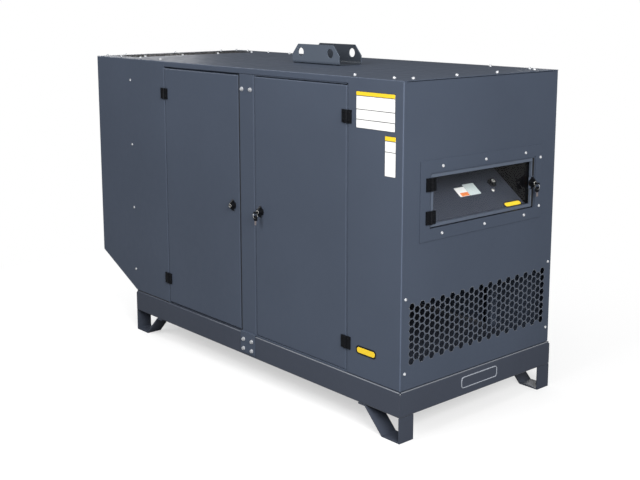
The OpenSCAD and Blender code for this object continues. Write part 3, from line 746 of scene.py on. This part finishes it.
# Turned details: radius and height of each ring
LAMP_Y, LAMP_UP = 0.197, 0.111
LAMP_PROFILE = ((0.0075, 0), (0.0075, 0.0018), (0.0062, 0.0028), (0.0052, 0.0028), (0.0048, 0.0048),
                (0.0026, 0.0062))
LAMP_SIDES = 20
SWITCH_UP = 0.148
SWITCH_COLLAR = ((0.021, 0), (0.021, 0.0022), (0.0185, 0.0036), (0.0155, 0.0036))
SWITCH_COLLAR_SIDES = 32
SWITCH_RISE = 0.0141
SWITCH_CAP = ((0.0085, 0), (0.0085, 0.0022), (0.0072, 0.0032))
SWITCH_CAP_SIDES = 24
SWITCH_SLOT_W, SWITCH_SLOT_H, SWITCH_SLOT_R = 0.0016, 0.009, 0.0006
SWITCH_SLOT_FOOT, SWITCH_SLOT_TOP, SWITCH_SLOT_CHAMFER = 0.0030, 0.0036, 0.0002


def console_place(y, up):
    """A frame on the slanted console, up metres from its lower edge."""
    direction = (Vector((CONSOLE_LO.x, 0, CONSOLE_HI.z)) - SILL).normalized()
    normal = Vector((direction.z, 0, -direction.x)).normalized()
    point = SILL + direction * up + BACK * y
    return Matrix.Translation(point) @ Matrix((BACK, direction, normal)).transposed().to_4x4()


def console_details():
    bm = bmesh.new()
    for layer, (y, up, width, height, radius, low, high, chamfer) in enumerate(CONSOLE_FILMS):
        outline = rounded_outline(width, height, radius, FILM_STEPS)
        add_plate(bm, console_place(y, up), outline, low, high, chamfer, layer)
    finish_piece("console_plates", bm, [WHITE, ORANGE, PALE], "canopy")
    pill = console_place(CONSOLE_PILL_Y, CONSOLE_PILL_UP)
    pill_badge("console_pill_badge", pill, CONSOLE_PILL_W, CONSOLE_PILL_H)

    bm = bmesh.new()
    add_turned(bm, console_place(LAMP_Y, LAMP_UP), LAMP_PROFILE, LAMP_SIDES)
    finish_piece("console_lamp", bm, [NICKEL], "canopy")

    bm = bmesh.new()
    foot = console_place((SWITCH_LO.y + SWITCH_HI.y) / 2, SWITCH_UP)
    add_turned(bm, foot, SWITCH_COLLAR, SWITCH_COLLAR_SIDES, 0)
    top = shifted(foot, z=SWITCH_RISE)
    add_turned(bm, top, SWITCH_CAP, SWITCH_CAP_SIDES, 1)
    slot = rounded_outline(SWITCH_SLOT_W, SWITCH_SLOT_H, SWITCH_SLOT_R, SLOT_STEPS)
    add_plate(bm, top, slot, SWITCH_SLOT_FOOT, SWITCH_SLOT_TOP, SWITCH_SLOT_CHAMFER, 0)
    finish_piece("switch_core", bm, [BLACK, NICKEL], "canopy")


# Locks: key cylinders in the wing handles, by radius and height of each ring, and their keyways
LOCK_RISE = 0.550
CORE_SINK = 0.0018
CORE_PROFILE = ((0.0088, -0.001), (0.0088, 0.0012), (0.0078, 0.0022), (0.0064, 0.0022), (0.0060, 0.0016))
CORE_SIDES = 28
KEYWAY_W, KEYWAY_H, KEYWAY_R = 0.0018, 0.0085, 0.0006
KEYWAY_FOOT, KEYWAY_TOP, KEYWAY_CHAMFER = 0.0014, 0.0021, 0.0002

# Keys: one in the lock, a wire ring through its bow and a second one that hangs from the ring
KEYS_SINK = 0.0102
BLADE_W, BLADE_T, BLADE_SINK = 0.0085, 0.0022, 0.001
BLADE_R, BLADE_CHAMFER = 0.0012, 0.0003
BOW_T, BOW_CHAMFER = 0.0056, 0.0012
BOW_TALL_SHARE = 1.15
BOW_ROUND_SHARE = 0.36
LOCK_KEY_OUT, LOCK_KEY_BLADE, LOCK_KEY_BOW = 0.013, 0.013, 0.016
RING_OUT, RING_DROP = 0.0225, 0.013
RING_R, RING_WIRE = 0.0115, 0.0008
RING_SIDES, WIRE_SIDES = 28, 8
HUNG_KEY_DROP, HUNG_KEY_BLADE, HUNG_KEY_BOW = 0.034, 0.019, 0.020


def lock_core(name, place, body):
    bm = bmesh.new()
    add_turned(bm, place, CORE_PROFILE, CORE_SIDES, 0)
    keyway = rounded_outline(KEYWAY_W, KEYWAY_H, KEYWAY_R, SLOT_STEPS)
    add_plate(bm, place, keyway, KEYWAY_FOOT, KEYWAY_TOP, KEYWAY_CHAMFER, 1)
    finish_piece(name, bm, [NICKEL, DARK], body)


def add_key(bm, place, blade, bow):
    """Flat key: the blade runs along -Y of the frame and the round-shouldered bow sits at its other end."""
    stem = rounded_outline(BLADE_W, blade, BLADE_R, SLOT_STEPS)
    add_plate(bm, shifted(place, y=-blade / 2, z=-BLADE_SINK), stem, 0.0, BLADE_T, BLADE_CHAMFER, 0)
    head = rounded_outline(bow, bow * BOW_TALL_SHARE, bow * BOW_ROUND_SHARE)
    add_plate(bm, shifted(place, y=bow / 2, z=-BOW_T / 2), head, 0.0, BOW_T, BOW_CHAMFER, 1)


def key_ring(name, place, body):
    """A key in the lock, a wire ring through its bow and a second key that hangs from it."""
    bm = bmesh.new()
    inserted = place @ Matrix.Rotation(QUARTER_TURN, 4, "X")
    add_key(bm, shifted(inserted, y=LOCK_KEY_OUT), LOCK_KEY_BLADE, LOCK_KEY_BOW)
    ring = shifted(place, y=-RING_DROP, z=RING_OUT) @ Matrix.Rotation(QUARTER_TURN, 4, "Y")
    add_torus(bm, ring, RING_R, RING_WIRE, RING_SIDES, WIRE_SIDES, 2)
    add_key(bm, shifted(place, y=-HUNG_KEY_DROP, z=RING_OUT), HUNG_KEY_BLADE, HUNG_KEY_BOW)
    finish_piece(name, bm, [KEY_STEEL, BLACK, NICKEL], body)


def lock_details():
    """Key cylinders in every lock; keys hang where the photo shows them."""
    for side in ("left", "right"):
        low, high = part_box(f"{side}_door_lock")
        tip = Vector(((low.x + high.x) / 2, low.y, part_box(f"{side}_door")[0].z + LOCK_RISE))
        place = shifted(facing(tip, FRONT), z=-CORE_SINK)
        lock_core(f"{side}_door_lock_core", place, f"{side}_front_door")
        if side == "right":
            key_ring("right_door_lock_keys", shifted(place, z=-KEYS_SINK), "right_front_door")
        behind = shifted(facing(Vector((tip.x, -tip.y, tip.z)), BACK), z=-CORE_SINK)
        lock_core(f"back_{side}_lock_core", behind, "canopy")
    middle = (COVER_LOCK_LO + COVER_LOCK_HI) / 2
    place = shifted(facing(Vector((COVER_LOCK_HI.x, middle.y, middle.z)), END), z=-CORE_SINK)
    lock_core("control_cover_lock_core", place, "control_cover")
    key_ring("control_cover_lock_keys", shifted(place, z=-KEYS_SINK), "control_cover")


# Screws in the hinge leaves: distance from the axis and from the hinge's middle, and half a hinge's height
LEAF_IN = 0.0155
LEAF_RISE = 0.0145
HINGE_HALF = 0.025
# Hinge, node of the leaves, body that they ride on and the side of the axis that they lie on
DOOR_LEAVES = (("left", "left_hinge_frame_leaves", "canopy", -1),
               ("left", "left_hinge_door_leaves", "left_front_door", 1),
               ("right", "right_hinge_frame_leaves", "canopy", 1),
               ("right", "right_hinge_door_leaves", "right_front_door", -1))
COVER_LEAVES = (("control", "control_hinge_frame_leaves", "canopy", -1),
                ("control", "control_hinge_cover_leaves", "control_cover", 1))


def hinge_axis(name):
    """A point on a hinge axis at the leaves' outer faces, and the heights of its two hinges."""
    joint = next(j for j in frame["record"]["behaviour"]["joints"] if name in j["name"])
    low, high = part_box(f"{name}_hinge_frame_leaves")
    return Vector(joint["pos_m"]), (low.z + HINGE_HALF, high.z - HINGE_HALF)


def hinge_screws():
    """Two black screws in each leaf of the hinges that open; door leaves lie along X, the cover's along Y."""
    for leaves, across, normal in ((DOOR_LEAVES, END, FRONT), (COVER_LEAVES, BACK, END)):
        for hinge, node, body, side in leaves:
            axis, middles = hinge_axis(hinge)
            row = axis + across * (side * LEAF_IN)
            spots = [(row.x, row.y, z + rise) for z in middles for rise in (-LEAF_RISE, LEAF_RISE)]
            fasteners(f"{node}_screws", add_small_screw, spots, normal, body, BLACK)


# Rubber seals that the doors close on
SEAL_INSET = 0.008
SEAL_BACK = 0.0088
SEAL_W = 0.011
SEAL_T = 0.0084
SEAL_R = 0.012
SEAL_INNER_R = 0.004
SEAL_CHAMFER = 0.003


def door_seals():
    for door in ("left_door", "right_door"):
        low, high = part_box(door)
        middle = (low + high) / 2
        place = facing(Vector((middle.x, high.y + SEAL_BACK, middle.z)), FRONT)
        width = high.x - low.x - 2 * SEAL_INSET
        height = high.z - low.z - 2 * SEAL_INSET
        outer = rounded_outline(width, height, SEAL_R)
        inner = rounded_outline(width - 2 * SEAL_W, height - 2 * SEAL_W, SEAL_INNER_R)
        bm = bmesh.new()
        add_loop(bm, place, outer, inner, 0.0, SEAL_T, SEAL_CHAMFER)
        finish_piece(f"{door}_seal", bm, [RUBBER], "canopy")


# Edge strips in the gaps that look closed in the photo, and dark films that paint the shadow lines of open
# joints
GAP = 0.006
STRIP_DEPTH = 0.014
STRIP_SINK = 0.0012
STRIP_R = 0.0008
STRIP_CHAMFER = 0.0004
# Room between a strip and the door or cover beside it, and the share of it left at the right door's free edge
PLAY = 0.0012
TIGHT_PLAY_SHARE = 0.6
# Height of the strip over the right door, as a share of the gap
HEADER_STRIP_SHARE = 0.35
RAIL_CLEAR = 0.0004
HEADER_CLEAR = 0.004
# Width and thickness of the dark films that paint shadow lines at joints
JOINT_LINE = 0.004
JOINT_FILM = 0.0006
# Thickness and width of the dark rubber that paints the shade of the cover's right stile
STILE_SHADE_T = 0.0012
STILE_SHADE_W = 0.008
WALL_FOOT = RAIL_HI.z + RAIL_CLEAR
WALL_HEAD = HEADER_LO.z - HEADER_CLEAR


def edge_strips(name, boxes, normal, material=PAINT, body="canopy", depth=STRIP_DEPTH):
    """Thin chamfered strips on a wall that looks to -Y or +X, each given by its low and high corner."""
    bm = bmesh.new()
    for low, high in boxes:
        size = Vector(high) - Vector(low)
        outline = rounded_outline(size.x if normal is FRONT else size.y, size.z, STRIP_R, SLOT_STEPS)
        place = facing((Vector(low) + Vector(high)) / 2, normal)
        add_plate(bm, place, outline, -depth, 0.0, STRIP_CHAMFER)
    finish_piece(name, bm, [material], body)


def front_strips():
    y = FRONT_Y + STRIP_SINK
    left, right = RIGHT_DOOR_LO.x, RIGHT_DOOR_HI.x
    uprights = ((LEFT_DOOR_LO.x - GAP, LEFT_DOOR_LO.x - PLAY), (right + PLAY, right + GAP),
                (left - GAP, left - TIGHT_PLAY_SHARE * PLAY))
    boxes = [((low, y, WALL_FOOT), (high, y, WALL_HEAD)) for low, high in uprights]
    boxes.append(((left - PLAY, y, WALL_FOOT), (right + PLAY, y, RIGHT_DOOR_LO.z - PLAY)))
    top = RIGHT_DOOR_HI.z + GAP
    boxes.append(((left, y, top - HEADER_STRIP_SHARE * GAP), (right, y, top)))
    edge_strips("front_edge_strips", boxes, FRONT)


def painted_shadow_lines():
    """Dark rubber films that paint shadow lines along the foot of the left panel and down the post beside the
    left door.
    """
    y = FRONT_Y - JOINT_FILM
    line = WALL_FOOT + JOINT_LINE
    post = LEFT_DOOR_HI.x + GAP
    boxes = (((RAIL_LO.x, y, WALL_FOOT), (LEFT_DOOR_LO.x - GAP, y, line)),
             ((post, y, line), (post + JOINT_LINE, y, WALL_HEAD)))
    edge_strips("painted_shadow_lines", boxes, FRONT, RUBBER, depth=JOINT_FILM)


def window_strips():
    low, high = COVER_LO, COVER_HI
    x = SURROUND_X - STRIP_SINK
    strips = (((x, low.y - GAP, low.z - GAP), (x, low.y - PLAY, high.z + GAP)),
              ((x, low.y - PLAY, high.z + PLAY), (x, high.y + GAP, high.z + GAP)))
    edge_strips("window_edge_strips", strips, END)
    # A dark rubber strip in the gap on the lock side paints that gap's shadow line
    seal = ((x, high.y + PLAY, low.z - PLAY), (x, high.y + GAP - PLAY, high.z + PLAY))
    edge_strips("window_gap_shadow", [seal], END, RUBBER)
    # Dark rubber along the cover's right stile paints the stile's shade
    x = high.x + STILE_SHADE_T
    runs = ((low.z, COVER_LOCK_LO.z - STILE_SHADE_T), (COVER_LOCK_HI.z + STILE_SHADE_T, high.z))
    stile_shades = [((x, high.y - STILE_SHADE_W, foot), (x, high.y, head)) for foot, head in runs]
    edge_strips("cover_stile_shadow", stile_shades, END, RUBBER, "control_cover", STILE_SHADE_T)


# Floor and world: grey levels of what they light, mirror and show, and where the floor's glow sets in
FLOOR_HALF = 40.0
FLOOR_BOUNCE = (0.18, 0.18, 0.18, 1.0)
FLOOR_SEEN = (0.92, 0.92, 0.92, 1.0)
FLOOR_ROUGH = 0.9
FLOOR_GLOW = (0.5, 1.0)
FLOOR_GLOW_RUN = (0.8, 2.4)
WORLD_LIGHT = 0.42
WORLD_MIRRORED = 0.14
# Lamps: name, place, target, width, height and watts
SOFTBOXES = (("key_softbox", (4.6, -2.0, 2.8), (0.6, -0.1, 0.8), 2.2, 2.2, 250),
             ("front_softbox", (0.5, -4.2, 3.3), (0.3, -0.4, 1.1), 2.4, 2.4, 152),
             ("rim_softbox", (-4.2, -0.6, 3.6), (0.0, -0.3, 1.2), 2.6, 2.0, 80),
             ("top_softbox", (0.2, -0.6, 4.4), (0.0, 0.0, 1.0), 4.0, 3.0, 15),
             ("back_softbox", (-0.8, 5.0, 1.1), (0.0, 0.4, 0.8), 3.0, 2.0, 110),
             ("hood_softbox", (-4.6, 1.4, 1.2), (-1.0, 0.2, 0.8), 2.0, 2.0, 60))
CAMERA_PLACE = (3.6228, -3.0915, 1.6439)
CAMERA_DOWN = 0.1735
CAMERA_TURN = 0.8503
CAMERA_LENS = 58.61
CAMERA_SENSOR = 36.0
CAMERA_SHIFT = -0.09375


def stage():
    """Pale floor that keeps the object's shadow near it and glows white further out."""
    bm = bmesh.new()
    corners = ((-1, -1), (1, -1), (1, 1), (-1, 1))
    bm.faces.new([bm.verts.new((x * FLOOR_HALF, y * FLOOR_HALF, 0)) for x, y in corners])
    mesh = bpy.data.meshes.new("floor")
    bm.to_mesh(mesh)
    bm.free()
    floor = bpy.data.objects.new("floor", mesh)
    bpy.context.scene.collection.objects.link(floor)
    shader = Shader("pale_floor")
    light = shader.node("ShaderNodeLightPath").outputs
    seen = shader.math("MAXIMUM", light["Is Camera Ray"], light["Is Transmission Ray"])
    shader.set(Base_Color=shader.mix(seen, FLOOR_BOUNCE, FLOOR_SEEN))
    shader.set(Roughness=FLOOR_ROUGH, Specular_IOR_Level=0.0)
    distance = shader.node("ShaderNodeVectorMath")
    distance.operation = "LENGTH"
    shader.put(distance.inputs[0], shader.place)
    far = shader.ramp(distance.outputs["Value"], *FLOOR_GLOW, *FLOOR_GLOW_RUN)
    shader.blend(shader.math("MULTIPLY", far, seen), shader.node("ShaderNodeEmission").outputs[0])
    mesh.materials.append(shader.material)


def world():
    """White behind the object, a plain grey level for its light and a darker one in its gloss."""
    made = bpy.data.worlds.new("studio")
    bpy.context.scene.world = made
    made.use_nodes = True
    nodes, links = made.node_tree.nodes, made.node_tree.links
    light = nodes.new("ShaderNodeLightPath").outputs
    seen = nodes.new("ShaderNodeMath")
    seen.operation = "MAXIMUM"
    links.new(light["Is Camera Ray"], seen.inputs[0])
    links.new(light["Is Transmission Ray"], seen.inputs[1])
    gloss = nodes.new("ShaderNodeMapRange")
    gloss.inputs["To Min"].default_value = WORLD_LIGHT
    gloss.inputs["To Max"].default_value = WORLD_MIRRORED
    links.new(light["Is Glossy Ray"], gloss.inputs["Value"])
    level = nodes.new("ShaderNodeMapRange")
    links.new(gloss.outputs["Result"], level.inputs["To Min"])
    level.inputs["To Max"].default_value = 1.0
    links.new(seen.outputs[0], level.inputs["Value"])
    links.new(level.outputs["Result"], nodes["Background"].inputs["Strength"])
    nodes["Background"].inputs["Color"].default_value = (1.0, 1.0, 1.0, 1.0)


def softbox(name, place, target, width, height, watts):
    data = bpy.data.lights.new(name, "AREA")
    data.shape = "RECTANGLE"
    data.size, data.size_y = width, height
    data.energy = watts
    lamp = bpy.data.objects.new(name, data)
    bpy.context.scene.collection.objects.link(lamp)
    lamp.location = place
    lamp.visible_transmission = False
    lamp.rotation_euler = (Vector(target) - Vector(place)).to_track_quat("-Z", "Y").to_euler()


def lights():
    world()
    for lamp in SOFTBOXES:
        softbox(*lamp)


def camera():
    data = bpy.data.cameras.new("camera")
    data.sensor_width = CAMERA_SENSOR
    data.lens = CAMERA_LENS
    data.shift_y = CAMERA_SHIFT
    eye = bpy.data.objects.new("camera", data)
    bpy.context.scene.collection.objects.link(eye)
    eye.location = CAMERA_PLACE
    eye.rotation_euler = (math.pi / 2 - CAMERA_DOWN, 0.0, CAMERA_TURN)
    bpy.context.scene.camera = eye


dress_nodes()
wall_bolts()
roof_bolts()
end_bolts()
front_plates()
rail_badge()
console_details()
lock_details()
hinge_screws()
door_seals()
front_strips()
painted_shadow_lines()
window_strips()
stage()
lights()
camera()
bpy.context.scene.view_settings.view_transform = "Standard"
